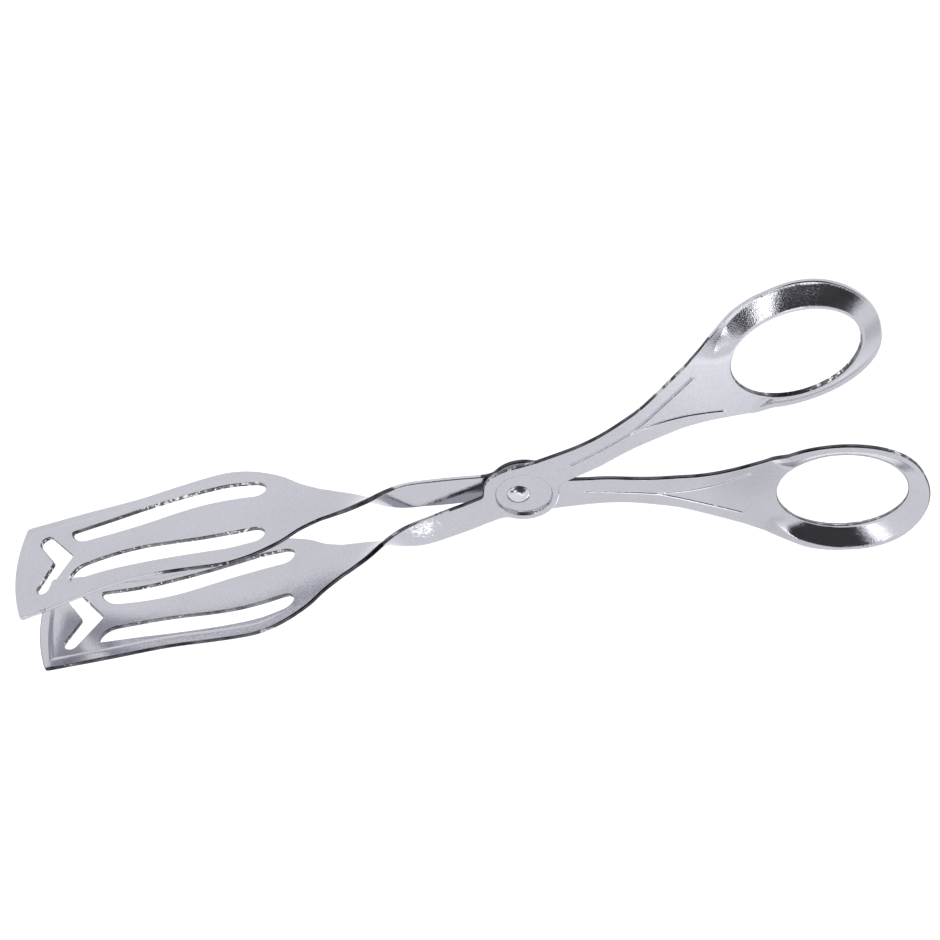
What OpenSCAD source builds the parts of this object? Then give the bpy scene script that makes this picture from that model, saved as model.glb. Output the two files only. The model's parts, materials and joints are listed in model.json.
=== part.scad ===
// Scissor-action pastry serving tongs in stamped stainless sheet.
// Two identical stampings, one turned over, cross at a domed rivet.
// X runs along the tongs: finger loops at +X, slotted blades at -X.
// Y is the rivet axis. Z is the opening direction. The origin is the centre of the whole part,
// with the rivet a little towards +X on the long axis.

/* [Sheet and joint] */
// thickness of the sheet each half is stamped from
sheet_t = 1.4; // [1.2:0.1:1.6]
// clear gap between the two crossing plates
plate_gap = 1.9; // [1.7:0.1:2.3]
// radius of the round seat pressed into each plate at the rivet
seat_r = 7.8; // [7.2:0.1:8.2]
// how far the seat centre lies from the rivet towards the handles
seat_x = 1.54; // [1:0.1:2]
// radius of the rivet shank
rivet_r = 2; // [1.6:0.1:2.4]
// radius of the rivet heads
head_r = 3.3; // [3:0.1:3.8]
// height of the domed rivet head
head_h = 1.6; // [1.2:0.1:1.8]

/* [Blades] */
// length of each blade from the end of the twist to the middle of the tip
blade_len = 91.4; // [80:0.2:105]
// greatest width of each blade
blade_w = 34.4; // [30:0.2:40]
// depth of the shallow dish inside the blade border
dish_d = 0.4; // [0.3:0.1:1.5]
// how far the middle of the tip stands out past its corners
tip_bulge = 2.6; // [1:0.1:4]
// height of the blade above or below the long axis at its fullest
bow_h = 13.8; // [12:0.2:16]

/* [Arms] */
// width of the arm and of the twisted neck
arm_w = 9.6; // [8.6:0.2:10.4]

/* [Finger loops] */
// length of the oval finger hole
hole_len = 36.7; // [32:0.1:40]
// width of the oval finger hole
hole_w = 28.4; // [25:0.1:31]
// how far the ring round the hole is curled towards the other half
curl_d = 3.4; // [1.5:0.1:4]
// width of the pressed line on the handle
line_w = 1.3; // [1:0.1:1.8]
// depth of the pressed line on the handle
line_d = 0.3; // [0.2:0.05:0.4]

/* [Hidden] */
$fn = 96;

fit = 0.05;                          // running clearance at the rivet
snug = 0.01;                         // clearance where the rivet is held
plate_y = -(plate_gap + sheet_t) / 2; // middle of the near plate
face_y = plate_y - sheet_t / 2;      // outer face of the near plate
inner_y = plate_y + sheet_t / 2;     // inner face of the near plate
press = plate_gap / 2 - 0.03;        // depth the seat is pressed in
disc_r = seat_r + 1.95;              // round outline about the seat
line_f = [1, 0.86, 0.74, 0.605, 0.526, 0.145, 0.046];
tip_f = [1, 0.86, 0.766, 0.6, 0.43, 0.26, 0.09];

// --- helpers -------------------------------------------------------------
function clamp(v, a, b) = min(max(v, a), b);
function step01(v) = let (s = clamp(v, 0, 1)) s * s * (3 - 2 * s);
function mix(a, b, s) = a + (b - a) * s;
// smooth curve through [place, value] points
function seg(p, x, i = 0) = (i >= len(p) - 2 || x <= p[i + 1][0]) ? i : seg(p, x, i + 1);
function rise(p, i) = let (a = max(i - 1, 0), b = min(i + 1, len(p) - 1))
    (p[b][1] - p[a][1]) / (p[b][0] - p[a][0]);
function curve(p, x) = let (
        i = seg(p, x), h = p[i + 1][0] - p[i][0],
        s = clamp((x - p[i][0]) / h, 0, 1),
        m0 = rise(p, i) * h, m1 = rise(p, i + 1) * h)
    (2 * pow(s, 3) - 3 * s * s + 1) * p[i][1] + (pow(s, 3) - 2 * s * s + s) * m0
    + (3 * s * s - 2 * pow(s, 3)) * p[i + 1][1] + (pow(s, 3) - s * s) * m1;

// closed solid over a grid of sheet points; cell is 1 for metal, 0 for a cut-out
module sheet_solid(grid, cell, wrap, turn) {
    ni = len(grid);
    nj = len(grid[0]);
    ci = wrap ? ni : ni - 1;
    function id(i, j, s) = ((i % ni) * nj + j) * 2 + s;
    function metal(i, j) = (j < 0 || j > nj - 2) ? 0
        : wrap ? cell[(i + ci) % ci][j]
        : (i < 0 || i > ci - 1) ? 0 : cell[i][j];
    function quad(a, b, c, d) = turn ? [[d, c, b], [d, b, a]] : [[a, b, c], [a, c, d]];
    pts = [for (i = [0:ni - 1]) for (j = [0:nj - 1]) for (s = [0, 1]) grid[i][j][s]];
    faces = [for (i = [0:ci - 1]) for (j = [0:nj - 2]) if (cell[i][j] == 1)
        each concat(
            quad(id(i, j, 0), id(i, j + 1, 0), id(i + 1, j + 1, 0), id(i + 1, j, 0)),
            quad(id(i, j, 1), id(i + 1, j, 1), id(i + 1, j + 1, 1), id(i, j + 1, 1)),
            metal(i - 1, j) == 1 ? [] :
                quad(id(i, j + 1, 0), id(i, j, 0), id(i, j, 1), id(i, j + 1, 1)),
            metal(i + 1, j) == 1 ? [] :
                quad(id(i + 1, j, 0), id(i + 1, j + 1, 0), id(i + 1, j + 1, 1), id(i + 1, j, 1)),
            metal(i, j - 1) == 1 ? [] :
                quad(id(i, j, 0), id(i + 1, j, 0), id(i + 1, j, 1), id(i, j, 1)),
            metal(i, j + 1) == 1 ? [] :
                quad(id(i + 1, j + 1, 0), id(i, j + 1, 0), id(i, j + 1, 1), id(i + 1, j + 1, 1)))];
    polyhedron(points = pts, faces = faces, convexity = 8);
}

// --- arm, twist and blade --------------------------------------------------
// places m are distances from the rivet at the standard blade length
ks = blade_len / 91.4;
kw = blade_w / 34.4;
arm_k = arm_w / 9.6;
arm_start = 10;
twist_a = 28;
twist_b = 54.5;
slot_a = 69.5;
slot_b = 127.7;
vee_a = 126.9;
vee_b = 133.1;
vee_c = 137.85;
tip_m = 145.4;
rim_w = 2.4;
slope_w = 1.6;

function along(m) = m <= 54 ? m : 54 + (m - 54) * ks;
function twist(m) = 90 * step01((m - twist_a) / (twist_b - twist_a));
// half width of the strip
arm_pts = [[10, 4.95], [22, 4.95], [28, 4.75], [34, 4.7], [49, 4.7], [54, 5.6]];
blade_pts = [[54, 5.6], [60, 8.7], [65, 12.3], [72, 15.5], [78, 17], [83, 17.2],
    [95, 16], [105, 15], [114, 15], [125, 15.8], [136, 16.7], [145.4, 17.1]];
function half_w(m) = m < 54 ? arm_k * curve(arm_pts, m)
    : kw * curve(blade_pts, m) * mix(arm_k / kw, 1, step01((m - 54) / 12));
// height of the middle of the strip below the long axis
arm_mid = [[10, 2.55], [16, 3.8], [22, 4.85], [28, 5.9], [34, 6.4], [38, 6.8], [41, 7.3], [45, 8.24]];
bow_pts = [[45, 8.24], [54, 10.1], [65, 11.8], [75, 12.9], [85, 13.6], [95.5, 13.8],
    [107, 13.5], [118, 12.7], [128, 11.5], [136, 10.4], [145.4, 9.6]];
function drop(m) = m < 45 ? curve(arm_mid, m)
    : curve(bow_pts, m) * mix(1, bow_h / 13.8, step01((m - 45) / 20));

// long slots, cut between an outer and an inner curve
slot_out = [[69.5, 10.8], [74, 11.4], [80, 12], [88, 11.65], [95, 11.1], [105, 10.3],
    [116, 9.5], [127.7, 9.4]];
slot_in = [[69.5, 5.9], [80, 6.3], [88, 6.1], [95, 5.4], [105, 4.25], [115, 4],
    [127.7, 4.7]];
function round_end(s) = sqrt(max(1 - pow(1 - clamp(s, 0, 1), 2), 0));
function slot_o(m) = let (q = max(round_end((m - slot_a) / 3.4), 0.18))
    mix(8.6, curve(slot_out, m), q);
function slot_i(m) = let (
        q = max(round_end((m - slot_a) / 3.4), 0.18),
        e = max(round_end((slot_b - m) / 5), 0.1),
        w = mix(8.6, curve(slot_in, m), q))
    mix(curve(slot_out, m), w, e);
// V-shaped cut near the tip
function vee_o(m) = m < vee_a ? mix(2.2, 0.4, clamp((m - 118) / (vee_a - 118), 0, 1))
    : m < 134.27 ? 0.4 + 1.3 * (m - vee_a) : 8.72 + sqrt(max(4 - pow(m - 135.85, 2), 0.2));
function vee_i(m) = m < vee_b ? 0.35 * vee_o(m) : 0.3 + 1.66 * (min(m, vee_c) - vee_b);

// places of the lengthwise lines of the grid, from the middle outwards
function lines(m) = let (w = half_w(m), k = w / half_w(slot_a))
    m < slot_a ? w * line_f
    : let (
        past = clamp((m - slot_b) / 5, 0, 1),
        so = m < slot_b ? slot_o(m) : mix(9.6, 11.7, past),
        si = m < slot_b ? slot_i(m) : mix(9.1, 11.1, past),
        s = mix(0, 1, step01((m - slot_a) / 6)),
        r1 = mix(w * line_f[1], w - rim_w * kw, s),
        r2 = mix(w * line_f[2], w - (rim_w + slope_w) * kw, s),
        row = [w, r1, r2, so * kw, si * kw, vee_o(min(m, vee_c)) * kw, vee_i(min(m, vee_c)) * kw],
        e = clamp((m - vee_c) / (tip_m - rim_w - slope_w - vee_c), 0, 1))
        [for (j = [0:6]) mix(row[j], w * tip_f[j], e)];
rows = concat(
    [for (i = [0:7]) arm_start + i * (twist_a - arm_start) / 8],
    [for (i = [0:12]) mix(twist_a, twist_b, i / 13)],
    [for (i = [0:5]) mix(twist_b, slot_a, i / 6)],
    [for (s = [0, 0.08, 0.28, 0.6]) slot_a + 3.4 * s],
    [for (i = [0:12]) mix(slot_a + 3.4, slot_b - 5, i / 12)],
    [for (s = [0.65, 0.35]) slot_b - 5 * s],
    [vee_a, slot_b - 0.35, slot_b, 129.2, 131.2, vee_b, 134.2, 135.4, 136.4, 137.1, 137.6, vee_c],
    [tip_m - rim_w - slope_w, tip_m - rim_w, tip_m]);
// dish: 0 on the blade floor, 1 on the border
function border(m, j) = let (
        side = j < 2 ? 1 : 0,
        tip = step01((m - (tip_m - rim_w - slope_w)) / slope_w))
    (1 - (1 - side) * (1 - tip)) * step01((m - 58) / 14);
// point of the sheet at place m, line j on side q (1 or -1), face s (0 outer, 1 inner)
function strip_pt(m, j, q, s) = let (
        w = lines(m)[j],
        hw = half_w(m),
        a = twist(m),
        back = tip_bulge * pow(w / hw, 2) * step01((m - vee_c) / (tip_m - vee_c)),
        fall = (drop(m + 0.5) - drop(m - 0.5)),
        tilt = atan(fall) * step01((m - 45) / 12),
        n = (s == 0 ? sheet_t / 2 : -sheet_t / 2) - dish_d * border(m, j))
    [-(along(m) - back) - n * sin(tilt),
     plate_y - q * w * sin(a) - n * cos(a),
     -drop(m) + q * w * cos(a) - n * sin(a) * cos(tilt)];
strip_grid = [for (m = rows) concat(
    [for (j = [0:6]) [strip_pt(m, j, 1, 0), strip_pt(m, j, 1, 1)]],
    [for (j = [6:-1:0]) [strip_pt(m, j, -1, 0), strip_pt(m, j, -1, 1)]])];
function cut(m, j) = let (c = j < 7 ? j : 12 - j)
    c == 3 ? (m > slot_a && m < slot_b)
    : c == 5 ? (m > vee_a && m < vee_c)
    : c == 6 ? (m > vee_a && m < vee_b) : false;
strip_cell = [for (i = [0:len(rows) - 2]) [for (j = [0:12])
    cut((rows[i] + rows[i + 1]) / 2, j) ? 0 : 1]];

module strip() {
    sheet_solid(strip_grid, strip_cell, false, false);
}

// --- finger loop -----------------------------------------------------------
loop_x = 85.2;
loop_z = 29.5;
loop_a = 19.5;
join = 150;
hole_a = hole_len / 2;
hole_b = hole_w / 2;
function oval(t) = [hole_a * cos(t), hole_b * sin(t)];
function oval_n(t) = let (v = [cos(t) / hole_a, sin(t) / hole_b]) v / norm(v);
function place(v) = [loop_x + cos(loop_a) * v[0] - sin(loop_a) * v[1],
    loop_z + sin(loop_a) * v[0] + cos(loop_a) * v[1]];
// width of the ring at angle t (-180 to 180)
function ring_w(t) = 5.6 + 2.4 * exp(-pow((t - 48) / 40, 2))
    + (t > 118 ? 5 * pow((t - 118) / 32, 1.6) + 0.9 * (full_curl(t) - curl(t)) : 0)
    + (t < -110 ? 0.7 * (-t - 110) / 40 : 0) + curve(ring_more, t);
ring_more = [[-180, 1], [-150, 1], [-140, 1.3], [-130, 1.3], [-110, 1.4], [-80, 1.4], [-60, 1.3],
    [-50, 1.1], [-40, 0.8], [-30, 0.35], [-22, 0.05], [-15, 0], [0, 0], [40, 0], [80, 0], [90, 0.5],
    [100, 0.85], [110, 1.2], [120, 1.1], [130, 0.3], [140, -0.7], [150, -0.7], [180, -0.7]];
// depth of the curl at angle t
function full_curl(t) = curl_d * (0.52 + 0.48 * pow(sin(t), 2));
function curl(t) = full_curl(t) * step01((join - abs(t)) / 15);
function rim_at(t) = place(oval(t) + ring_w(t) * oval_n(t));
join_o = rim_at(join);
join_i = rim_at(-join);
loop_n = 72;
loop_f = [0, 0.1, 0.22, 0.45, 0.7, 0.88, 1];
function loop_pt(t, f, s) = let (
        u = t > 180 ? t - 360 : t,
        e = place(oval(u)),
        far = t > join && t < 360 - join,
        r = far ? mix(join_o, join_i, (t - join) / (360 - 2 * join)) : rim_at(u),
        v = r - e,
        out = v / norm(v),
        g = clamp((f - 0.12) / 0.88, 0, 1),
        c = curl(u),
        slope = f < 0.12 ? 0 : atan(c / (norm(v) * 0.88)),
        n = s == 0 ? sheet_t / 2 : -sheet_t / 2,
        p = e + f * v + (n - sheet_t / 2) * sin(slope) * out)
    [p[0], plate_y + c * g - n * cos(slope), p[1]];
loop_grid = [for (i = [0:loop_n - 1]) [for (f = loop_f)
    [loop_pt(i * 360 / loop_n, f, 0), loop_pt(i * 360 / loop_n, f, 1)]]];
loop_cell = [for (i = [0:loop_n - 1]) [for (j = [0:len(loop_f) - 2]) 1]];

module loop() {
    sheet_solid(loop_grid, loop_cell, true, true);
}

// rivet's place on the long axis, which puts the origin midway between tips and loops
pivot_x = (along(tip_m) - max([for (i = [0:71]) rim_at(i * 5 - 180)[0]])) / 2;

// --- flat plate with the seat, and the handle -------------------------------
edge_out = [[-5.3, 9.3], [-2.3, 10.35], [0.7, 10.8], [6.4, 11.1], [12.4, 11.9], [20.6, 13.4],
    [27.6, 15.6], [34.5, 18.8], [40.5, 22.1], [47.5, 27.3], [join_o[0], join_o[1]]];
edge_in = [[15, 1.7], [19.3, 2.9], [24.6, 4.3], [30.8, 6.6], [37, 8.6], [43.2, 10.1],
    [48.8, 11.4], [54.5, 12], [60.2, 12], [join_i[0], join_i[1]]];
// the plate runs a little way into the flat end of the ring
chord = join_o - join_i;
lap = 2 * [chord[1], -chord[0]] / norm(chord);
plate_pts = concat(
    [[-arm_start, -drop(arm_start) - half_w(arm_start)], [-6.4, -6.8], [2, -6], [11.3, -1.2]],
    [[11.9, 0.2], [13.2, 1.15]],
    [for (i = [0:18]) let (x = mix(15, join_i[0], i / 18)) [x, curve(edge_in, x)]],
    [join_i + 0.15 * chord + lap, join_i + 0.85 * chord + lap],
    [for (i = [24:-1:0]) let (x = mix(-5.3, join_o[0], i / 24)) [x, curve(edge_out, x)]],
    [[-7.2, 7.8], [-8.4, 5.9], [-9.1, 3.9], [-9.5, 2.75]],
    [[-arm_start, -drop(arm_start) + half_w(arm_start)]]);

// flat shape standing on a face at height y, growing towards +Y by h
module slab(y, h) {
    translate([0, y + h, 0])
        rotate([90, 0, 0])
            linear_extrude(height = h)
                children();
}

module disc(y, h, r1, r2, x) {
    translate([x, y, 0])
        rotate([-90, 0, 0])
            cylinder(h = h, r1 = r1, r2 = r2);
}

// pressed line on the handle: a stem that parts into two branches
stem = [[17.2, 7.4], [26, 10.4], [36, 14.3]];
branch_o = [[36, 14.3], [41, 17.6], [46, 21.2], [51.5, 25.2], [56.5, 29]];
branch_i = [[36, 14.3], [41.6, 15.4], [46, 15.95], [51.5, 16.1], [57, 15.6], [61.7, 14.9]];
function stroke(p, w) = let (
        n = 3 * (len(p) - 1),
        a = p[0][0], b = p[len(p) - 1][0],
        q = [for (i = [0:n]) let (x = mix(a, b, i / n)) [x, curve(p, x)]],
        d = [for (i = [0:n]) let (v = q[min(i + 1, n)] - q[max(i - 1, 0)]) [-v[1], v[0]] / norm(v)])
    concat([for (i = [0:n]) q[i] + d[i] * w / 2], [for (i = [n:-1:0]) q[i] - d[i] * w / 2]);

module line_shape(w) {
    union() {
        polygon(stroke(stem, w));
        polygon(stroke(branch_o, w));
        polygon(stroke(branch_i, w));
        translate([36, 14.3])
            circle(d = w, $fn = 24);
    }
}

module half() {
    difference() {
        union() {
            strip();
            loop();
            slab(face_y, sheet_t)
                union() {
                    polygon(plate_pts);
                    translate([seat_x, 0])
                        circle(r = disc_r);
                }
            disc(inner_y - 0.2, press + 0.2, seat_r + 0.5, seat_r - 0.3, seat_x);
            slab(inner_y - 0.2, line_d + 0.2)
                line_shape(line_w);
        }
        disc(face_y - 0.4, press + 0.4, seat_r + 0.3, seat_r - 0.7, seat_x);
        slab(face_y - 1, line_d + 1)
            line_shape(line_w);
    }
}

seat_y = face_y + press;   // floor of the near seat

module bore(r) {
    translate([0, -6, 0])
        rotate([-90, 0, 0])
            cylinder(h = 12, r = r);
}

// near stamping: upper handle, lower blade
module near_half() {
    color([0.78, 0.78, 0.80])
        translate([pivot_x, 0, 0])
            difference() {
                half();
                bore(rivet_r + snug);
            }
}

// far stamping: the same part turned over, lower handle, upper blade
module far_half() {
    color([0.72, 0.72, 0.75])
        translate([pivot_x, 0, 0])
            difference() {
                rotate([180, 0, 0])
                    half();
                bore(rivet_r + fit);
            }
}

// rivet with a domed head on each side
module rivet() {
    dome_r = (head_r * head_r + head_h * head_h) / (2 * head_h);
    color([0.66, 0.66, 0.68])
        translate([pivot_x, 0, 0])
            union() {
                translate([0, seat_y - snug - 0.3, 0])
                    rotate([-90, 0, 0])
                        cylinder(h = 2 * (-seat_y) + fit + snug + 0.6, r = rivet_r);
                intersection() {
                    translate([0, seat_y - snug - head_h + dome_r, 0])
                        sphere(r = dome_r);
                    translate([0, seat_y - snug - head_h - 1, 0])
                        rotate([-90, 0, 0])
                            cylinder(h = head_h + 1, r = head_r + 1);
                }
                intersection() {
                    translate([0, -seat_y + fit + head_h - dome_r, 0])
                        sphere(r = dome_r);
                    translate([0, -seat_y + fit, 0])
                        rotate([-90, 0, 0])
                            cylinder(h = head_h + 1, r = head_r + 1);
                }
            }
}

near_half();
far_half();
rivet();
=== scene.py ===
"""Serving tongs: the looks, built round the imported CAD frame.

Each half is made as one unrolled sheet: a flat outline with its holes, meshed, then carried to its
curled, twisted and dished shape with rounded edges. The far half is the same sheet turned over.
"""

import json
import math

import bpy
import numpy as np
from mathutils import Matrix, Vector
from mathutils.geometry import delaunay_2d_cdt
from mathutils.kdtree import KDTree


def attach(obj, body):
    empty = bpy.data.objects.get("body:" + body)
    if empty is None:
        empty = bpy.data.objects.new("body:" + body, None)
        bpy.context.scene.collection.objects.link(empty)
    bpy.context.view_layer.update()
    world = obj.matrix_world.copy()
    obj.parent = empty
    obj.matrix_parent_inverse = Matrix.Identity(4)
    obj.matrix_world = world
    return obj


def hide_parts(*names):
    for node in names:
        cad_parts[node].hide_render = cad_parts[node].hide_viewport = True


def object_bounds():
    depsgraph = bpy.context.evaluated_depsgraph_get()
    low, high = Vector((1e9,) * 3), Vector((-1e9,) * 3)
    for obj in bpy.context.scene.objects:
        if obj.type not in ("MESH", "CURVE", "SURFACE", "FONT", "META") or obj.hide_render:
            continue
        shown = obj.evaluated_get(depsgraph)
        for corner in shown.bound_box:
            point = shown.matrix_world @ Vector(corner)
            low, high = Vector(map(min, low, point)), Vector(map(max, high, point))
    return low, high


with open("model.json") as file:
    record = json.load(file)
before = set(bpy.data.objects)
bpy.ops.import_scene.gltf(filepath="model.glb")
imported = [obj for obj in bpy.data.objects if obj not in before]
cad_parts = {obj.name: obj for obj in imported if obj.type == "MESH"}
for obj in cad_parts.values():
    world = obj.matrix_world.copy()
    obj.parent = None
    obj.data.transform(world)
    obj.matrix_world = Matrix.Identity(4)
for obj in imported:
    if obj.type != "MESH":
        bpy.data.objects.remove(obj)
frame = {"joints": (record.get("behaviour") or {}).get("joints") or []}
cad_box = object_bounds()
MM = 0.001
PIVOT = np.array(frame["joints"][0]["pos_m"], float) / MM

# --- sizes, in millimetres from the rivet; m runs from the rivet to the blade's tip -------
# the two sheets: thickness, the space between them, the middle of the near one, the seat's depth
SHEET = 1.4
GAP = 1.9
PLATE_Y = -(GAP + SHEET) / 2
PRESS = GAP / 2 - 0.04
# the round seat and the rivet in it
SEAT_R, SEAT_X, DISC_R = 7.8, 1.54, 9.75
RIVET_R, HEAD_R, HEAD_H = 2.0, 3.3, 1.6
RIVET_HOLE_R, SHANK_R, HEAD_CLEAR = RIVET_R + 0.04, RIVET_R - 0.03, 0.02
# the strip: its start and tip, the tip's bulge, the dish inside the border, the twist's ends
ARM_START, TIP_M, TIP_BULGE, DISH = 10.0, 145.4, 2.6, 0.25
TWIST_A, TWIST_B = 28, 54.5
# where the two slots and the chevron hole start and end along the strip
SLOT_A, SLOT_B, SLOT_MID = 69.5, 127.7, 8.6
VEE_A, VEE_B, VEE_C = 126.9, 132.92, 137.85
# half the strip's width: arm, then blade
ARM = [[10, 4.95], [22, 4.95], [28, 4.75], [34, 4.7], [49, 4.7], [54, 5.6]]
BLADE = [[54, 5.6], [60, 8.7], [65, 12.3], [72, 15.5], [78, 17], [83, 17.2], [95, 16],
         [105, 15], [114, 15], [125, 15.8], [136, 16.7], [145.4, 17.1]]
# how far the strip's middle line lies below the rivet: arm, then the bow of the blade
ARM_MID = [[10, 2.55], [16, 3.8], [22, 4.85], [28, 5.9], [34, 6.4], [38, 6.8], [41, 7.3], [45, 8.24]]
BOW = [[45, 8.24], [54, 10.1], [65, 11.8], [75, 12.9], [85, 13.6], [95.5, 13.8], [107, 13.5],
       [118, 12.7], [128, 11.5], [136, 10.4], [145.4, 9.6]]
# the slots' outer and inner edges, from the strip's middle line
SLOT_OUT = [[69.5, 10.8], [74, 11.4], [80, 12], [88, 11.65], [95, 11.1], [105, 10.3],
            [116, 9.5], [127.7, 9.4]]
SLOT_IN = [[69.5, 5.9], [80, 6.3], [88, 6.1], [95, 5.4], [105, 4.25], [115, 4], [127.7, 4.7]]
# the finger loop: its centre and lean, the half angle at the handle (degrees), the hole, the curl
LOOP_X, LOOP_Z, LOOP_A, JOIN = 85.2, 29.5, math.radians(19.5), 150.0
HOLE_A, HOLE_B, CURL = 18.35, 14.2, 3.4
# extra width of the loop by angle round it
RING_MORE = [[-180, 1], [-150, 1], [-140, 1.3], [-130, 1.3], [-110, 1.4], [-80, 1.4], [-60, 1.3],
             [-50, 1.1], [-40, 0.8], [-30, 0.35], [-22, 0.05], [-15, 0], [0, 0], [40, 0], [80, 0],
             [90, 0.5], [100, 0.85], [110, 1.2], [120, 1.1], [130, 0.3], [140, -0.7], [150, -0.7],
             [180, -0.7]]
# the handle's upper and lower outline, and the pressed line's stem and two branches
EDGE_OUT = [[-5.3, 9.3], [-2.3, 10.35], [0.7, 10.8], [6.4, 11.1], [12.4, 11.9], [20.6, 13.4],
            [27.6, 15.6], [34.5, 18.8], [40.5, 22.1], [47.5, 27.3]]
EDGE_IN = [[15, 1.7], [19.3, 2.9], [24.6, 4.3], [30.8, 6.6], [37, 8.6], [43.2, 10.1],
           [48.8, 11.4], [54.5, 12], [60.2, 12]]
STEM = [[17.2, 7.4], [26, 10.4], [36, 14.3]]
BRANCH_O = [[36, 14.3], [41, 17.6], [46, 21.2], [51.5, 25.2], [56.5, 29]]
BRANCH_I = [[36, 14.3], [41.6, 15.4], [46, 15.95], [51.5, 16.1], [57, 15.6], [61.7, 14.9]]
# each pressed shape as the outer face shows it and as the inner face does
SEAT_WALL = {True: (SEAT_R + 0.02, 0.4), False: (SEAT_R + 0.12, 0.7)}  # radius, width of the wall
LINE_SHAPE = {True: (0.5, 0.45, 0.34), False: (0.45, 0.45, 0.22)}  # half width, slope, depth
# spacing of the mesh: the plain grid, its shift on odd rows, and the least gaps between points
GRID, GRID_SHIFT, GRID_GAP, GUIDE_GAP, GUIDE_CELL = 1.15, 0.57, 0.62, 0.2, 0.16


# the finger hole's place among the outlines, the materials' slots, and where the loop's rim starts
FINGER_HOLE = 1
HOLE_SLOT, RIM_SLOT, LOOP_SLOT, LOOP_EDGE_X = 1, 2, 3, 64


# --- curves ------------------------------------------------------------------
def step01(v):
    """A smooth step: 0 below 0, 1 above 1."""
    s = np.clip(v, 0, 1)
    return s * s * (3 - 2 * s)


def curve(points, x):
    """A smooth curve through the points, as part.scad draws it."""
    p = np.array(points, float)
    x = np.asarray(x, float)
    i = np.clip(np.searchsorted(p[:, 0], x) - 1, 0, len(p) - 2)
    rise = np.gradient(p[:, 1], p[:, 0])
    rise[1:-1] = (p[2:, 1] - p[:-2, 1]) / (p[2:, 0] - p[:-2, 0])
    h = p[i + 1, 0] - p[i, 0]
    s = np.clip((x - p[i, 0]) / h, 0, 1)
    return ((2 * s**3 - 3 * s * s + 1) * p[i, 1] + (s**3 - 2 * s * s + s) * rise[i] * h
            + (3 * s * s - 2 * s**3) * p[i + 1, 1] + (s**3 - s * s) * rise[i + 1] * h)


def half_width(m):
    """Half the strip's width at m."""
    return np.where(m < 54, curve(ARM, m), curve(BLADE, m))


def drop(m):
    """How far the strip's middle line lies below the rivet at m."""
    return np.where(m < 45, curve(ARM_MID, m), curve(BOW, m))


def turned(m):
    """How far the strip has turned at m: 0 on the flat plate, 1 on the blade."""
    return step01((m - TWIST_A) / (TWIST_B - TWIST_A))


# --- the finger loop -----------------------------------------------------------
def full_curl(t):
    """How far the loop's edge curls at angle t, away from the handle."""
    return CURL * (0.52 + 0.48 * np.sin(np.radians(t)) ** 2)


def curl(t):
    """The curl grows slowly on the outer side of the join and starts at a crease on the inner."""
    b = np.clip((JOIN + t) / 16, 0, 1)
    b = 1.12 * b * b / (b + 0.12)
    return full_curl(t) * np.where(t > 0, step01((JOIN - t) / 36), 1 - (1 - b) ** 1.5)


def band_w(t):
    """The curled band's width, without the web that joins it to the handle."""
    return 5.6 + 2.4 * np.exp(-(((t - 48) / 40) ** 2)) - 0.33 * np.clip(curl(t) / 3, 0, 1)


def ring_w(t):
    """The loop's full width at angle t, with the webs at the handle."""
    t = np.asarray(t, float)
    web = 5 * (np.clip(t - 118, 0, None) / 32) ** 1.6
    uncurled = np.where(t > 90, 0.9 * (full_curl(t) - curl(t)), 0)
    under = np.where(t < -110, 0.7 * (-t - 110) / 40, 0)
    return band_w(t) + (web + uncurled) + under + curve(RING_MORE, t)


def place(e):
    """Points measured along the finger hole's own axes, in the plate's plane."""
    c, s = math.cos(LOOP_A), math.sin(LOOP_A)
    return np.stack([LOOP_X + c * e[:, 0] - s * e[:, 1], LOOP_Z + s * e[:, 0] + c * e[:, 1]], 1)


def oval(t, out=0.0):
    """Points out from the edge of the finger hole, at angle t."""
    a = np.radians(t)
    n = np.stack([np.cos(a) / HOLE_A, np.sin(a) / HOLE_B], 1)
    n /= np.linalg.norm(n, axis=1)[:, None]
    e = np.stack([HOLE_A * np.cos(a), HOLE_B * np.sin(a)], 1)
    return place(e + np.asarray(out).reshape(-1, 1) * n)


def ring_place(p):
    """(angle, distance from the hole's edge) of points in the plate's plane."""
    c, s = math.cos(LOOP_A), math.sin(LOOP_A)
    d = p - [LOOP_X, LOOP_Z]
    x, y = c * d[:, 0] + s * d[:, 1], -s * d[:, 0] + c * d[:, 1]
    t = np.arctan2(HOLE_A * y, HOLE_B * x)
    k = HOLE_A**2 - HOLE_B**2
    for _ in range(12):
        f = k * np.cos(t) * np.sin(t) - x * HOLE_A * np.sin(t) + y * HOLE_B * np.cos(t)
        g = k * np.cos(2 * t) - x * HOLE_A * np.cos(t) - y * HOLE_B * np.sin(t)
        t = t - np.clip(f / np.where(np.abs(g) < 1e-6, -1e-6, g), -0.2, 0.2)
    t = (t + math.pi) % (2 * math.pi) - math.pi
    ex, ey = HOLE_A * np.cos(t), HOLE_B * np.sin(t)
    side = np.where((x / HOLE_A) ** 2 + (y / HOLE_B) ** 2 > 1, 1, -1)
    return np.degrees(t), side * np.hypot(x - ex, y - ey)


def curl_height(p):
    """How far the curled band stands towards the other half, at points of the plate."""
    a, b, r = 0.12, 0.93, 0.035  # where the slope starts and ends across the band, and its rounding

    def soft(v):
        return np.where(v > r, v, np.where(v < -r, 0, (v + r) ** 2 / (4 * r)))

    by_loop = np.hypot(p[:, 0] - LOOP_X, p[:, 1] - LOOP_Z) < 38
    h = np.zeros(len(p))
    if by_loop.any():
        t, d = ring_place(p[by_loop])
        f = d / band_w(t)
        h[by_loop] = curl(t) * ((soft(f - a) - soft(f - b)) / (b - a))
    return h


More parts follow.
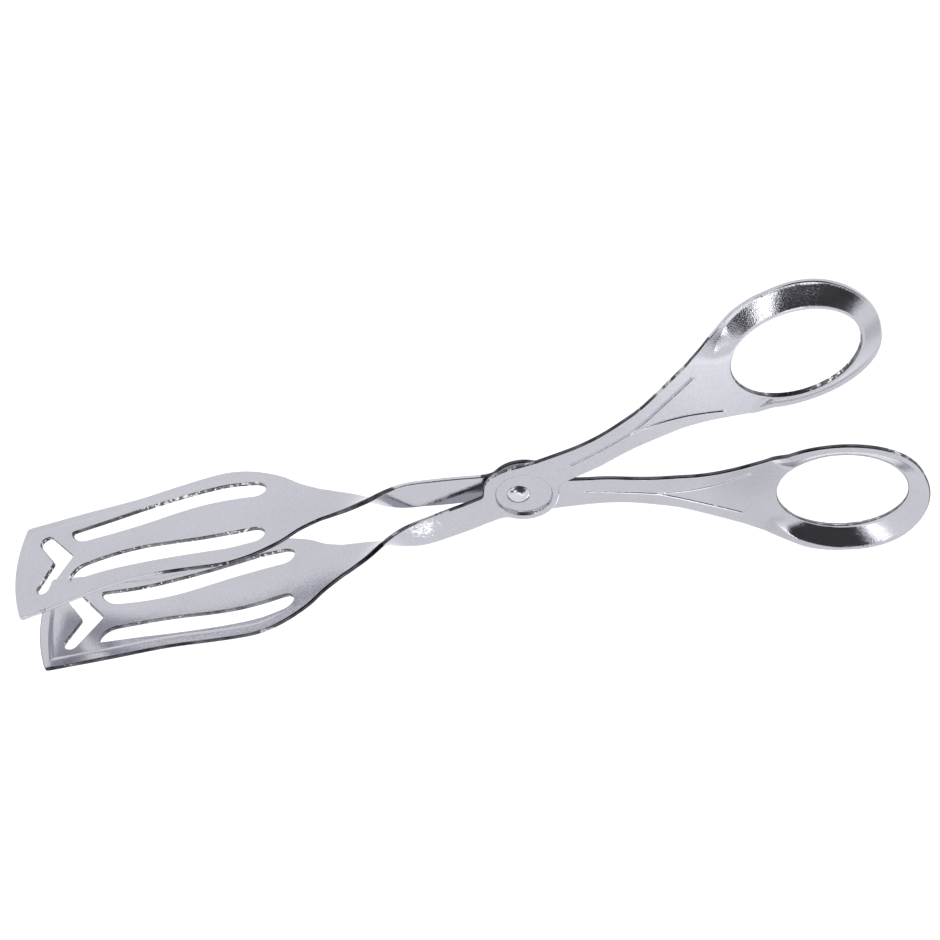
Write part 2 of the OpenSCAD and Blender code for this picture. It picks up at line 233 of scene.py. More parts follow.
# --- pressed shapes on the plate ----------------------------------------------
def line_points(p, step):
    """Points along a pressed line."""
    x = np.linspace(p[0][0], p[-1][0], 200)
    q = np.stack([x, curve(p, x)], 1)
    s = np.concatenate([[0], np.cumsum(np.linalg.norm(np.diff(q, axis=0), axis=1))])
    n = max(2, int(round(s[-1] / step)))
    u = np.linspace(0, s[-1], n + 1)
    return np.stack([np.interp(u, s, q[:, 0]), np.interp(u, s, q[:, 1])], 1)


LINES = [line_points(p, 0.9) for p in (STEM, BRANCH_O, BRANCH_I)]


def line_distance(p):
    """Distance from the nearest pressed line."""
    best = np.full(len(p), 99.0)
    for q in LINES:
        a, b = q[:-1], q[1:]
        ab = b - a
        s = np.clip(((p[:, None] - a) * ab).sum(2) / (ab**2).sum(1), 0, 1)
        best = np.minimum(best, np.linalg.norm(p[:, None] - (a + s[..., None] * ab), axis=2).min(1))
    return best


def press(p, outer):
    """How far the pressed seat and lines push a face of the plate, towards the other half."""
    h = np.zeros(len(p))
    flat = (p[:, 0] > -9) & (p[:, 0] < 66)
    q = p[flat]
    r = np.hypot(q[:, 0] - SEAT_X, q[:, 1])
    edge, wide = SEAT_WALL[outer]
    seat = PRESS * (1 - step01((r - edge + wide / 2) / wide))
    half, slope, deep = LINE_SHAPE[outer]
    line = deep * (1 - step01((line_distance(q) - half + slope) / slope))
    h[flat] = seat + line * (r > SEAT_R + 2)
    return h


# --- the sheet: (u, q) on the unrolled sheet to a point in space ------------------
def across(u, q):
    """Distance from the strip's middle line; u is -m along the strip."""
    m = np.clip(-u, ARM_START, None)
    return q + (1 - turned(m)) * drop(m)


def border(m, w):
    """1 on the blade's raised border, 0 on its floor and along the arm."""
    d = half_width(m) - np.abs(w)
    side = 1 - step01((d - 2.4) / 1.5)
    tip = step01((m - (TIP_M - 4.0)) / 1.6)
    return (1 - (1 - side) * (1 - tip)) * step01((m - 62) / 30)


def middle(u, q):
    """The sheet's middle surface."""
    m = np.clip(-u, ARM_START, TIP_M + 2)
    w = across(u, q)
    a = np.pi / 2 * turned(m)
    back = TIP_BULGE * (w / half_width(m)) ** 2 * step01((m - VEE_C) / (TIP_M - VEE_C))
    tilt = np.arctan(drop(m + 0.5) - drop(m - 0.5)) * step01((m - 45) / 12)
    n = -DISH * border(m, w)
    strip = np.stack([u + back - n * np.sin(tilt), PLATE_Y - w * np.sin(a) - n * np.cos(a),
                      -drop(m) + w * np.cos(a) - n * np.sin(a) * np.cos(tilt)], 1)
    plate = np.stack([u, PLATE_Y + curl_height(np.stack([u, q], 1)), q], 1)
    return np.where((u < -ARM_START)[:, None], strip, plate)


def sheet(u, q, n, e=0.02):
    """Points at distance n from the sheet's middle, with the unit normal and the u and q directions."""
    p = middle(u, q)
    du = middle(u + e, q) - middle(u - e, q)
    dq = middle(u, q + e) - middle(u, q - e)
    nrm = np.cross(du, dq)
    nrm /= np.linalg.norm(nrm, axis=1)[:, None]
    flat = np.stack([u, q], 1)
    k = np.broadcast_to(0.5 + n / SHEET, len(u))
    lift = k * press(flat, True) + (1 - k) * press(flat, False)
    p = p + np.asarray(n).reshape(-1, 1) * nrm
    p[:, 1] += lift
    return p, nrm, du / (2 * e), dq / (2 * e)


def face(u, q, n, e=0.03):
    """Point and outward unit normal on one face of the sheet."""
    p = sheet(u, q, n)[0]
    du = sheet(u + e, q, n)[0] - sheet(u - e, q, n)[0]
    dq = sheet(u, q + e, n)[0] - sheet(u, q - e, n)[0]
    nrm = np.cross(du, dq)
    nrm /= np.linalg.norm(nrm, axis=1)[:, None]
    return p, nrm if n > 0 else -nrm


# --- outlines on the unrolled sheet ------------------------------------------------
def to_sheet(m, w):
    """(u, q) of points at m along the strip and w from its middle line."""
    return np.stack([-m, w - (1 - turned(m)) * drop(m)], 1)


def closed(points, step, blur):
    """A closed outline walked in even steps, with its corners rounded off."""
    p = np.vstack([points, points[:1]])
    s = np.concatenate([[0], np.cumsum(np.linalg.norm(np.diff(p, axis=0), axis=1))])
    n = int(round(s[-1] / step))
    u = np.arange(n) * s[-1] / n
    q = np.stack([np.interp(u, s, p[:, 0]), np.interp(u, s, p[:, 1])], 1)
    k = np.exp(-0.5 * (np.arange(-6, 7) * step / blur) ** 2)
    k /= k.sum()
    return sum(k[j + 6] * np.roll(q, -j, axis=0) for j in range(-6, 7))


def away(loop, hole):
    """Unit directions out of the metal along a closed outline."""
    d = np.roll(loop, -1, axis=0) - np.roll(loop, 1, axis=0)
    n = np.stack([d[:, 1], -d[:, 0]], 1)
    n /= np.linalg.norm(n, axis=1)[:, None]
    x, y = loop[:, 0], loop[:, 1]
    ccw = (x * np.roll(y, -1) - y * np.roll(x, -1)).sum() > 0
    return n if ccw != hole else -n


def outline():
    """The half's outer outline: strip, tip, handle, loop and the disc round the seat."""
    m = np.linspace(ARM_START, TIP_M, 400)
    low = to_sheet(m, -half_width(m))
    w = np.linspace(-1, 1, 80)[1:-1] * half_width(TIP_M)
    tip = to_sheet(np.full(len(w), TIP_M), w)
    high = to_sheet(m, half_width(m))[::-1]
    corner = np.array([[-9.5, 2.75], [-9.1, 3.9], [-8.4, 5.9], [-7.2, 7.8]])
    t = np.arange(JOIN, -JOIN - 0.1, -1.5)
    rim = oval(t, ring_w(t))
    x = np.linspace(EDGE_OUT[0][0], rim[0][0], 120)[:-1]
    top = np.stack([x, curve(EDGE_OUT + [list(rim[0])], x)], 1)
    x = np.linspace(rim[-1][0], EDGE_IN[0][0], 90)[1:]
    under = np.stack([x, curve(EDGE_IN + [list(rim[-1])], x)], 1)
    crotch = np.array([[13.2, 1.15], [11.9, 0.2], [11.35, -1.1]])
    a = np.radians(np.arange(-9, -134, -3))
    disc = np.stack([SEAT_X + DISC_R * np.cos(a), DISC_R * np.sin(a)], 1)
    return np.vstack([low, tip, high, corner, top, rim, under, crotch, disc, [[-6.9, -6.95]]])


def slot_outline(side):
    """One of the blade's two slots; side is 1 or -1."""

    def bend(s):
        return np.sqrt(np.clip(1 - (1 - np.clip(s, 0, 1)) ** 2, 0, 1))

    m = SLOT_A + (SLOT_B - SLOT_A) * (1 - np.cos(np.linspace(0, np.pi, 160))) / 2
    start, end = bend((m - SLOT_A) / 3.4), bend((SLOT_B - m) / 5)
    outer = SLOT_MID + (curve(SLOT_OUT, m) - SLOT_MID) * start
    inner = SLOT_MID + (curve(SLOT_IN, m) - SLOT_MID) * start
    inner = curve(SLOT_OUT, m) + (inner - curve(SLOT_OUT, m)) * end
    return np.vstack([to_sheet(m, side * outer), to_sheet(m, side * inner)[::-1]])


def vee_outline():
    """The chevron hole near the blade's tip."""
    a = np.radians(np.arange(142.3, -32, -8))
    half = np.vstack([[VEE_A, 0], [134.27, 9.94],
                      np.stack([135.85 + 2 * np.cos(a), 8.72 + 2 * np.sin(a)], 1), [VEE_B, 0]])
    both = np.vstack([half, half[-2:0:-1] * [1, -1]])
    return to_sheet(both[:, 0], both[:, 1])


def inside(p, loop):
    """Which points lie inside a closed outline."""
    x, y = p[:, 0][:, None], p[:, 1][:, None]
    a, b = loop, np.roll(loop, -1, axis=0)
    over = (a[:, 1] > y) != (b[:, 1] > y)
    with np.errstate(divide="ignore", invalid="ignore"):
        xi = a[:, 0] + (y - a[:, 1]) * (b[:, 0] - a[:, 0]) / (b[:, 1] - a[:, 1])
    return ((over & (x < xi)).sum(1) % 2) == 1


def guides():
    """Points that follow the pressed, curled and dished features, so that the mesh does too."""
    g = []
    a = np.radians(np.arange(0, 360, 4))
    for r in (6.9, 7.3, 7.5, 7.68, 7.82, 7.96, 8.15, 8.45, 8.9):
        g.append(np.stack([SEAT_X + r * np.cos(a), r * np.sin(a)], 1))
    for q in LINES:
        d = np.gradient(q, axis=0)
        n = np.stack([-d[:, 1], d[:, 0]], 1) / np.linalg.norm(d, axis=1)[:, None]
        for k in (-0.8, -0.6, -0.42, -0.25, -0.08, 0.08, 0.25, 0.42, 0.6, 0.8):
            g.append(q + k * n)
    t = np.arange(-JOIN, JOIN + 0.1, 2.5)
    for f in (0.085, 0.12, 0.16, 0.25, 0.36, 0.48, 0.6, 0.72, 0.84, 0.9, 0.93, 0.965,
              1.06, 1.2, 1.35):
        g.append(oval(t, band_w(t) * f))
    for t in (JOIN, JOIN - 1, JOIN - 2.5, JOIN - 4):
        for s in (t, -t):
            f = np.linspace(0.1, 0.95, 14)
            g.append(oval(np.full(14, s), ring_w(s) * f))
    m = np.arange(60, TIP_M - 1.5, 0.85)
    for d in (1.6, 2.4, 2.7, 3.15, 3.6, 3.9, 4.6):
        w = half_width(m) - d
        k = m < TIP_M - d
        for s in (-1, 1):
            g.append(to_sheet(m[k], s * w[k]))
        w = np.arange(-half_width(TIP_M) + d, half_width(TIP_M) - d, 0.85)
        g.append(to_sheet(np.full(len(w), TIP_M - d), w))
    return g


def unrolled():
    """The flat sheet: its points, its triangles, and each outline with its edge radius."""
    t = np.arange(0, 360, 1.0)
    a = np.radians(np.arange(0, 360, 10))
    loops = [
        (closed(outline(), 0.5, 0.55), False, 0.45),
        (closed(oval(t), 0.7, 0.5), True, 0.32),
        (RIVET_HOLE_R * np.stack([np.cos(a), np.sin(a)], 1), True, 0.15),
        (closed(slot_outline(1), 0.5, 0.4), True, 0.4),
        (closed(slot_outline(-1), 0.5, 0.4), True, 0.4),
        (closed(vee_outline(), 0.4, 0.42), True, 0.35),
    ]
    edges = []
    for loop, hole, r in loops:
        n = away(loop, hole)
        edges.append((loop, n, r, loop - n * r, hole))
    fixed = np.vstack([e[3] for e in edges])
    x, y = np.meshgrid(np.arange(-147, 112, GRID), np.arange(-24, 56, GRID))
    x = x + GRID_SHIFT * (np.round(y / GRID) % 2)
    grid = np.stack([x.ravel(), y.ravel()], 1)
    guide = np.vstack(guides())

    def on_metal(p):
        """Which points lie inside the outline and outside every hole."""
        ok = inside(p, edges[0][3])
        for e in edges[1:]:
            ok[ok] = ~inside(p[ok], e[3])
        return ok

    def spaced(p, known, gap):
        """The points of p that stand clear of the known ones and of each other."""
        tree = KDTree(len(known))
        for i, v in enumerate(known):
            tree.insert((v[0], v[1], 0), i)
        tree.balance()
        return np.array([v for v in p if tree.find((v[0], v[1], 0))[2] > gap])

    guide = spaced(guide[on_metal(guide)], fixed, GUIDE_GAP)
    cell = {}
    for v in guide:
        cell.setdefault((round(v[0] / GUIDE_CELL), round(v[1] / GUIDE_CELL)), v)
    guide = np.array(list(cell.values()))
    grid = spaced(grid[on_metal(grid)], np.vstack([fixed, guide]), GRID_GAP)
    points = np.vstack([fixed, guide, grid])
    ties, at = [], 0
    for e in edges:
        n = len(e[3])
        ties += [(at + i, at + (i + 1) % n) for i in range(n)]
        at += n
    made = delaunay_2d_cdt([Vector(v) for v in points.tolist()], ties, [], 1, 1e-6)
    back = [o[0] for o in made[3]]
    tri = np.array([[back[i] for i in f] for f in made[2]])
    tri = tri[on_metal(points[tri].mean(1))]
    a, b, c = points[tri[:, 0]], points[tri[:, 1]], points[tri[:, 2]]
    ccw = (b[:, 0] - a[:, 0]) * (c[:, 1] - a[:, 1]) - (b[:, 1] - a[:, 1]) * (c[:, 0] - a[:, 0]) > 0
    tri[~ccw] = tri[~ccw][:, ::-1]
    return points, tri, edges


def half_mesh():
    """Points (mm from the rivet), normals and faces of the near half, and (face, slot) of its edges."""
    points, tri, edges = unrolled()
    u, q = points[:, 0], points[:, 1]
    top, top_n = face(u, q, SHEET / 2)
    low, low_n = face(u, q, -SHEET / 2)
    verts, norms = [top, low], [top_n, low_n]
    n = len(points)
    # seen from the outer face (-Y), u runs right and q runs up, so a counter-clockwise
    # triangle on the sheet already faces outwards
    faces = [tuple(t) for t in tri.tolist()] + [tuple(n + i for i in t[::-1]) for t in tri.tolist()]
    start, made, cut = 0, 2 * n, []
    turn = [22.5, 45, 67.5, 90]
    for number, (loop, out, r, inset, hole) in enumerate(edges):
        k = len(loop)
        lean = None
        if number == FINGER_HOLE:
            # the finger hole's wall stands square to the curled band beside it
            band = inset - out * 1.3
            lean = sheet(band[:, 0], band[:, 1], 0)[1]
        rings = [np.arange(start, start + k)]
        straight = SHEET / 2 - r
        path = [(a, straight) for a in turn] + [(180 - a, -straight) for a in turn[::-1]]
        if straight < 0.03:
            path.pop(4)
        for a, flat in path:
            c, s = math.cos(math.radians(a)), math.sin(math.radians(a))
            off = inset + out * (r * s)
            height = flat + r * c
            p, nr, du, dq = sheet(off[:, 0], off[:, 1], np.full(k, height))
            if lean is not None:
                p = p + height * s * (lean - nr)
                nr = nr + s * (lean - nr)
                nr /= np.linalg.norm(nr, axis=1)[:, None]
            side = out[:, :1] * du + out[:, 1:] * dq
            side -= (side * nr).sum(1)[:, None] * nr
            side /= np.linalg.norm(side, axis=1)[:, None]
            verts.append(p)
            norms.append(c * nr + s * side)
            rings.append(np.arange(made, made + k))
            made += k
        rings.append(n + np.arange(start, start + k))
        # a hole's outline and the sheet's run the other way round
        x, y = loop[:, 0], loop[:, 1]
        forward = ((x * np.roll(y, -1) - y * np.roll(x, -1)).sum() > 0) != hole
        for row, (a, b) in enumerate(zip(rings[:-1], rings[1:])):
            a2, b2 = np.roll(a, -1), np.roll(b, -1)
            rows = np.stack([a, b, b2, a2], 1) if forward else np.stack([a, a2, b2, b], 1)
            if 1 <= row < len(rings) - 2:
                for i in range(k):
                    slot = HOLE_SLOT if hole else LOOP_SLOT if loop[i, 0] > LOOP_EDGE_X else RIM_SLOT
                    cut.append((len(faces) + i, slot))
            faces += [tuple(f) for f in rows.tolist()]
        start += k
    return np.vstack(verts), np.vstack(norms), faces, cut


def piece(name, verts, norms, faces, materials, body, node, cut=()):
    """One piece of the object, from points in mm from the rivet, in place of its CAD node."""
    mesh = bpy.data.meshes.new(name)
    mesh.from_pydata(((verts + PIVOT) * MM).tolist(), [], faces)
    mesh.validate()
    mesh.polygons.foreach_set("use_smooth", [True] * len(mesh.polygons))
    if norms is not None and len(mesh.vertices) == len(norms):
        mesh.normals_split_custom_set_from_vertices(norms.tolist())
    for m in materials:
        mesh.materials.append(m)
    for i, k in cut:
        mesh.polygons[i].material_index = k
    o = bpy.data.objects.new(name, mesh)
    bpy.context.scene.collection.objects.link(o)
    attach(o, body)
    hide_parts(node)


# --- materials -------------------------------------------------------------------
class Nodes:
    """A small helper for building one metal's node tree."""

    def __init__(self, name, seed):
        self.mat = bpy.data.materials.new(name)
        self.mat.use_nodes = True
        self.tree = self.mat.node_tree
        self.tree.nodes.clear()
        out = self.new("ShaderNodeOutputMaterial")
        self.bsdf = self.new("ShaderNodeBsdfPrincipled")
        self.bsdf.inputs["Metallic"].default_value = 1.0
        self.link(self.bsdf.outputs[0], out.inputs[0])
        co = self.new("ShaderNodeTexCoord")
        self.at = self.new("ShaderNodeMapping")
        self.at.inputs["Location"].default_value = (seed, seed * 0.7, 0)
        self.link(co.outputs["Object"], self.at.inputs[0])
        self.place = co.outputs["Object"]

    def new(self, kind):
        return self.tree.nodes.new(kind)

    def link(self, a, b):
        self.tree.links.new(a, b)

    def noise(self, scale, detail, rough=0.5):
        """Even noise from 0 to 1; the scale is per metre."""
        n = self.new("ShaderNodeTexNoise")
        n.inputs["Scale"].default_value = scale
        n.inputs["Detail"].default_value = detail
        n.inputs["Roughness"].default_value = rough
        self.link(self.at.outputs[0], n.inputs["Vector"])
        return n.outputs["Fac"]

    def ramp(self, source, a, b, lo, hi):
        """Carry the source from a..b to lo..hi, held at both ends."""
        r = self.new("ShaderNodeMapRange")
        for key, v in (("From Min", a), ("From Max", b), ("To Min", lo), ("To Max", hi)):
            r.inputs[key].default_value = v
        self.link(source, r.inputs["Value"])
        return r.outputs[0]

    def mix(self, factor, a, b):
        """Blend two colours; each is a number triple or a socket."""
        m = self.new("ShaderNodeMix")
        m.data_type = "RGBA"
        for key, v in (("A", a), ("B", b)):
            if isinstance(v, bpy.types.NodeSocket):
                self.link(v, m.inputs[key])
            else:
                m.inputs[key].default_value = (*v, 1)
        self.link(factor, m.inputs["Factor"])
        return m.outputs["Result"]

    def times(self, colour, value):
        v = self.new("ShaderNodeVectorMath")
        v.operation = "SCALE"
        self.link(colour, v.inputs["Vector"])
        self.link(value, v.inputs["Scale"])
        return v.outputs["Vector"]

    def plus(self, a, b):
        m = self.new("ShaderNodeMath")
        self.link(a, m.inputs[0])
        self.link(b, m.inputs[1])
        return m.outputs[0]

    def away_from(self, point):
        """Distance in metres from a point given in mm from the rivet."""
        v = self.new("ShaderNodeVectorMath")
        v.operation = "DISTANCE"
        v.inputs[1].default_value = ((np.array(point) + PIVOT) * MM).tolist()
        self.link(self.place, v.inputs[0])
        return v.outputs["Value"]

    def along(self, axis):
        """Place along one axis of the piece, in metres."""
        v = self.new("ShaderNodeSeparateXYZ")
        self.link(self.place, v.inputs[0])
        return v.outputs[axis]

    def bump(self, height, strength, distance, below=None):
        b = self.new("ShaderNodeBump")
        if isinstance(strength, bpy.types.NodeSocket):
            self.link(strength, b.inputs["Strength"])
        else:
            b.inputs["Strength"].default_value = strength
        b.inputs["Distance"].default_value = distance
        self.link(height, b.inputs["Height"])
        if below:
            self.link(below, b.inputs["Normal"])
        return b.outputs[0]


def steel(name, colour, rough, seed, turned_about_y=False, scuffs=(), loop=None):
    """Polished stainless sheet: fine satin grain, a little waviness and small rubbed marks."""
    n = Nodes(name, seed)
    b = n.bsdf
    cloud = n.ramp(n.noise(38, 3), 0.35, 0.65, 0, 1)
    base = n.mix(cloud, [c * 0.97 for c in colour], [c * 1.03 for c in colour])
    base = n.times(base, n.ramp(n.noise(2300, 2, 0.7), 0.3, 0.7, 0.92, 1.08))
    wear = n.ramp(n.noise(160, 4, 0.6), 0.4, 0.75, rough * 0.8, rough * 1.7)
    for centre, size in scuffs:
        # a patch of bright rubbed marks round one place, on the near half's outer face only
        close = n.ramp(n.away_from(centre), size * 0.2, size, 0.24, -0.2)
        outer = n.ramp(n.along("Y"), (-1.9 + PIVOT[1]) * MM, (-1.4 + PIVOT[1]) * MM, 0, -0.5)
        mark = n.ramp(n.plus(n.plus(n.noise(1000, 4, 0.75), close), outer), 0.66, 0.76, 0, 1)
        base = n.mix(mark, base, (0.86, 0.86, 0.89))
    n.link(base, b.inputs["Base Color"])
    n.link(wear, b.inputs["Roughness"])
    wave = n.bump(n.noise(420, 4, 0.7), 0.22, 0.0001)
    grain = n.bump(n.noise(3000, 2, 0.6), 0.26, 0.00008, wave)
    if loop:
        # the curled loop is only roughly polished
        rubbed = n.ramp(n.away_from(loop), 0.033, 0.029, 0, 0.25)
        grain = n.bump(n.noise(2200, 3, 0.7), rubbed, 0.0001, grain)
    n.link(grain, b.inputs["Normal"])
    if turned_about_y:
        b.inputs["Anisotropic"].default_value = 0.85
        lathe = n.new("ShaderNodeTangent")
        lathe.direction_type, lathe.axis = "RADIAL", "Y"
        n.link(lathe.outputs[0], b.inputs["Tangent"])
    return n.mat


def cut_steel_shade_glints(name, seed):
    """The punched edges of the holes, rougher than the sheet; their dark tone is partly duller cut
    metal and partly painted shade, and their bright specks are painted glints.
    """
    n = Nodes(name, seed)
    b = n.bsdf
    # painted glints: bright specks in clusters on the hole walls
    patches = n.ramp(n.noise(55, 1), 0.35, 0.65, -0.09, 0.07)
    painted_glint = n.ramp(n.plus(n.noise(850, 3, 0.7), patches), 0.57, 0.64, 0, 1)
    # the dark tone: partly duller cut metal, partly painted shade in the holes
    dark = n.ramp(n.noise(300, 2), 0.35, 0.65, 0, 1)
    tone = n.mix(dark, (0.08, 0.08, 0.09), (0.24, 0.24, 0.26))
    n.link(n.mix(painted_glint, tone, (0.9, 0.9, 0.93)), b.inputs["Base Color"])
    n.link(n.ramp(n.noise(500, 2), 0.3, 0.7, 0.2, 0.4), b.inputs["Roughness"])
    n.link(n.bump(n.noise(1600, 3, 0.7), 0.4, 0.0001), b.inputs["Normal"])
    return n.mat


def edge_steel_shade_highlight(name, seed, bright):
    """The sheared outer edge, rougher than the faces: its dark tone is partly duller cut metal and
    partly painted shade, with painted highlights at random and along stretches (x, x, fade) in mm.
    """
    n = Nodes(name, seed)
    b = n.bsdf
    # painted highlights: bright patches at random, raised along the given stretches of x
    painted_highlight = n.plus(n.noise(70, 3, 0.6), n.ramp(n.noise(900, 2), 0.3, 0.7, -0.05, 0.05))
    for x0, x1, soft in bright:
        x0, x1, soft = (x0 + PIVOT[0]) * MM, (x1 + PIVOT[0]) * MM, soft * MM
        painted_highlight = n.plus(painted_highlight, n.ramp(n.along("X"), x0, x0 + soft, 0, 0.3))
        painted_highlight = n.plus(painted_highlight, n.ramp(n.along("X"), x1 - soft, x1, 0, -0.3))
    painted_highlight = n.ramp(painted_highlight, 0.6, 0.66, 0, 1)
    # the dark tone: partly duller sheared metal, partly painted shade
    dark = n.ramp(n.noise(240, 2), 0.35, 0.65, 0, 1)
    tone = n.mix(dark, (0.025, 0.025, 0.03), (0.11, 0.11, 0.125))
    n.link(n.mix(painted_highlight, tone, (0.5, 0.5, 0.54)), b.inputs["Base Color"])
    n.link(n.ramp(n.noise(500, 2), 0.3, 0.7, 0.15, 0.3), b.inputs["Roughness"])
    n.link(n.bump(n.noise(1400, 3, 0.7), 0.25, 0.0001), b.inputs["Normal"])
    return n.mat


def rivet_mesh():
    """The rivet, turned from one profile: shank, two heads with a small rim and a low dome."""
    seat = SHEET / 2 - PLATE_Y - PRESS
    a = seat + HEAD_CLEAR
    dome = (HEAD_R**2 + HEAD_H**2) / (2 * HEAD_H)
    prof = []
    for s in np.linspace(0, 1, 15):
        r = HEAD_R * 0.97 * math.sin(s * math.pi / 2)
        prof.append((r, a + HEAD_H - dome + math.sqrt(dome**2 - r**2)))
    prof += [(HEAD_R * 0.985, a + 0.11), (HEAD_R, a + 0.05), (HEAD_R * 0.99, a + 0.005),
             (RIVET_R + 0.1, a), (SHANK_R, a - 0.1), (SHANK_R, 0)]
    full = prof + [(r, -y) for r, y in prof[-2::-1]]
    k = 72  # points round the rivet
    verts, faces = [(0, full[0][1], 0)], []
    for r, y in full[1:-1]:
        for i in range(k):
            t = 2 * math.pi * i / k
            verts.append((r * math.cos(t), y, r * math.sin(t)))
    verts.append((0, full[-1][1], 0))
    rows = len(full) - 2
    for i in range(k):
        j = (i + 1) % k
        faces.append((0, 1 + i, 1 + j))
        for s in range(rows - 1):
            p = 1 + s * k
            faces.append((p + i, p + k + i, p + k + j, p + j))
        p = 1 + (rows - 1) * k
        faces.append((p + j, p + i, len(verts) - 1))
    return np.array(verts), faces


metal, rivet_metal = (0.462, 0.462, 0.506), (0.56, 0.56, 0.60)
near_steel = steel("near_steel", metal, 0.085, 0.0, scuffs=[((-28.6, -2.35, -3.3), 0.0105)],
                   loop=(LOOP_X, 0, LOOP_Z))
far_steel = steel("far_steel", metal, 0.085, 3.7, loop=(LOOP_X, 0, -LOOP_Z))
# hole walls: rough cut steel with painted shade and painted glints
near_cut_shade_glints = cut_steel_shade_glints("near_hole_edge_shade_glints", 1.3)
far_cut_shade_glints = cut_steel_shade_glints("far_hole_edge_shade_glints", 6.1)
# outer rims: painted shade, with painted highlights along the listed stretches in mm
near_rim_shade_highlight = edge_steel_shade_highlight("near_rim_edge_shade_highlight", 2.2, [(-43, -23, 4)])
far_rim_shade_highlight = edge_steel_shade_highlight("far_rim_edge_shade_highlight", 5.4, [(-37, -7, 4), (-170, -88, 12)])
rivet_steel = steel("rivet_steel", rivet_metal, 0.13, 8.1, turned_about_y=True)

verts, norms, faces, cut = half_mesh()
# the hole walls carry painted shade and glints, the outer rims painted shade and highlights; on the far
# half the loop's edge takes the rim's painted shade too
piece("near_half_sheet", verts, norms, faces, (near_steel, near_cut_shade_glints, near_rim_shade_highlight, near_steel),
      "near", "near_half", cut)
flip = np.array([1, -1, -1])
piece("far_half_sheet", verts * flip, norms * flip, faces, (far_steel, far_cut_shade_glints, far_rim_shade_highlight, far_rim_shade_highlight),
      "far", "far_half", cut)
verts, faces = rivet_mesh()
piece("rivet_pin", verts, None, faces, (rivet_steel,), "near", "rivet")


# --- stage ---------------------------------------------------------------------
def plain(name, colour, emit=0.0):
    """Matt paint or cloth for the stage, with a little light of its own if asked."""
    mat = bpy.data.materials.new(name)
    mat.use_nodes = True
    b = mat.node_tree.nodes["Principled BSDF"]
    b.inputs["Base Color"].default_value = (*colour, 1)
    b.inputs["Roughness"].default_value = 0.9
    b.inputs["Specular IOR Level"].default_value = 0.0
    if emit:
        b.inputs["Emission Color"].default_value = (1, 1, 1, 1)
        b.inputs["Emission Strength"].default_value = emit
    return mat


def on_stage(name, corners, mat, hidden=True):
    """A flat sheet on the stage, by its corners in metres; a hidden one shows only in reflections."""
    mesh = bpy.data.meshes.new(name)
    mesh.from_pydata(corners, [], [tuple(range(len(corners)))])
    mesh.materials.append(mat)
    o = bpy.data.objects.new(name, mesh)
    bpy.context.scene.collection.objects.link(o)
    if hidden:
        o.visible_camera = False
        o.visible_diffuse = False
        o.visible_shadow = False
        o.visible_transmission = False
    return o


def square(half, z=0.0):
    return [(-half, -half, z), (half, -half, z), (half, half, z), (-half, half, z)]


def card(name, corners, mat):
    """A hidden card, by its corners in mm from the rivet."""
    on_stage(name, [((np.array(v, float) + PIVOT) * MM).tolist() for v in corners], mat)


def glow(name, centre, across, upward, strength, core=0.3):
    """A hidden soft-edged oval of light, in mm from the rivet; core is its even part."""
    mat = bpy.data.materials.new(name)
    mat.use_nodes = True
    t = mat.node_tree
    t.nodes.clear()
    out, mix = t.nodes.new("ShaderNodeOutputMaterial"), t.nodes.new("ShaderNodeMixShader")
    light, clear = t.nodes.new("ShaderNodeEmission"), t.nodes.new("ShaderNodeBsdfTransparent")
    light.inputs["Strength"].default_value = strength
    co, size = t.nodes.new("ShaderNodeTexCoord"), t.nodes.new("ShaderNodeVectorMath")
    size.operation = "LENGTH"
    fade = t.nodes.new("ShaderNodeMapRange")
    fade.interpolation_type = "SMOOTHSTEP"
    for key, v in (("From Min", core), ("From Max", 1), ("To Min", 1), ("To Max", 0)):
        fade.inputs[key].default_value = v
    t.links.new(co.outputs["Object"], size.inputs[0])
    t.links.new(size.outputs["Value"], fade.inputs["Value"])
    t.links.new(fade.outputs[0], mix.inputs["Fac"])
    t.links.new(clear.outputs[0], mix.inputs[1])
    t.links.new(light.outputs[0], mix.inputs[2])
    t.links.new(mix.outputs[0], out.inputs[0])
    a, b = Vector(across) * MM, Vector(upward) * MM
    where = Matrix((a, b, a.cross(b).normalized() * MM)).transposed().to_4x4()
    where.translation = Vector(((np.array(centre) + PIVOT) * MM).tolist())
    on_stage(name, square(1.0), mat).matrix_world = where


# the floor lies below the sweep of the opening handle; the low cards lie at the tongs' underside
rest_z = cad_box[0].z - 0.0005
floor_z = rest_z - 0.09
on_stage("floor", square(20.0, floor_z), plain("floor_paint", (0.93, 0.93, 0.93), 0.1), False)

black = plain("flag_cloth", (0.06, 0.06, 0.064))
FRONT, TOP, SIDE = -420, 760, 700  # where the black flags stand, in mm from the rivet
LAMPS = FRONT + 6
bottom = rest_z / MM - PIVOT[2]
low = bottom + 0.4
card("front_flag", [(x, FRONT, z) for x, z in (
    (-SIDE, 92), (-310, 104), (-235, 150), (-150, 155), (-60, 120), (0, 88), (45, 58), (72, 8),
    (92, bottom), (SIDE, bottom), (SIDE, TOP), (-215, TOP), (-205, 270), (-SIDE, 270))], black)
card("top_flag", [(-230, FRONT, TOP), (SIDE, FRONT, TOP), (SIDE, 60, TOP), (-190, 60, TOP)], black)
card("floor_flag", [(150, FRONT, low), (SIDE, FRONT, low), (SIDE, -205, low), (150, -205, low)], black)
glow("ring_lamp", (-152, LAMPS, 190), (86, 0, -8), (-4, 0, 38), 7, 0.45)
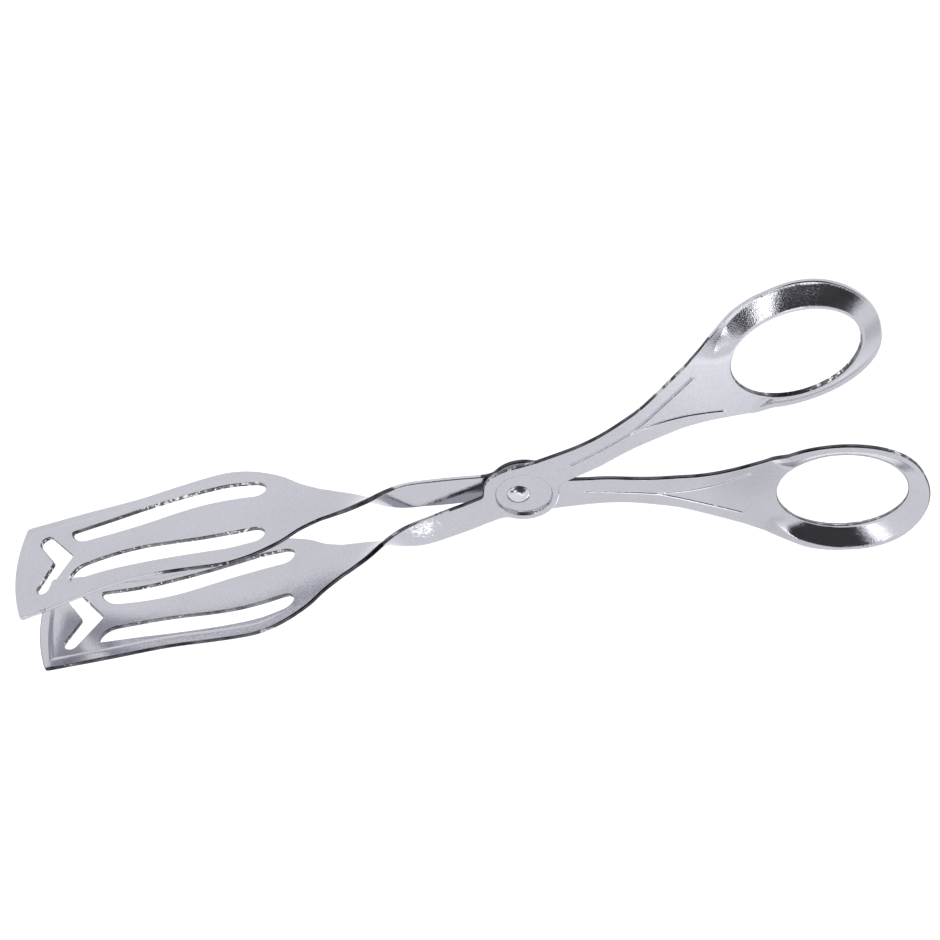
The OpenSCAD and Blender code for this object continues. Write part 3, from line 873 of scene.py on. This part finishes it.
glow("loop_lamp", (52, LAMPS, -6), (46, 0, 0), (0, 0, 44), 5, 0.4)
glow("edge_lamp", (-95, LAMPS, 12), (110, 0, 0), (0, 0, 50), 1.5, 0.5)
glow("line_lamp", (31, 12, bottom + 0.5), (25, 0, 0), (0, 30, 0), 3, 0.7)
glow("handle_glow", (47, -120, low), (48, 0, 0), (0, 64, 0), 1.7, 0.3)
glow("join_shade", (69, 9, low), (12, 0, 0), (0, 12, 0), 0.5, 0.3)
glow("ring_shade", (156, -46, low), (30, 0, 0), (0, 48, 0), 0.92, 0.3)
glow("plate_shade", (58, -34, low), (18, 0, 0), (0, 13, 0), 1.0, 0.2)

world = bpy.data.worlds.new("studio")
world.use_nodes = True
sky = world.node_tree.nodes["Background"]
sky.inputs["Color"].default_value = (0.985, 0.99, 1.0, 1)
sky.inputs["Strength"].default_value = 1.2
bpy.context.scene.world = world
bpy.context.scene.view_settings.view_transform = "Standard"

# --- camera at the photograph's viewing angle -------------------------------------
AZ, EL, ROLL = math.radians(15.729), math.radians(43.764), math.radians(-23.927)
LENS, AWAY, ASIDE, ABOVE = 127.66, 0.9202, -0.01336, 0.00569  # mm, then metres from the rivet
forward = Vector((-math.sin(AZ) * math.cos(EL), math.cos(AZ) * math.cos(EL), -math.sin(EL)))
level = forward.cross(Vector((0, 0, 1))).normalized()
upright = level.cross(forward)
right = math.cos(ROLL) * level + math.sin(ROLL) * upright
up = math.cos(ROLL) * upright - math.sin(ROLL) * level
camera_data = bpy.data.cameras.new("camera")
camera_data.lens = LENS
camera_data.sensor_width = 36
camera_data.clip_start, camera_data.clip_end = 0.01, 50
camera = bpy.data.objects.new("camera", camera_data)
spot = Vector(PIVOT * MM) + ASIDE * right + ABOVE * up - AWAY * forward
camera.matrix_world = Matrix.Translation(spot) @ Matrix((right, up, -forward)).transposed().to_4x4()
bpy.context.scene.collection.objects.link(camera)
bpy.context.scene.camera = camera

# --- bring the scene up to date ------------------------------------------------------
bpy.context.view_layer.update()
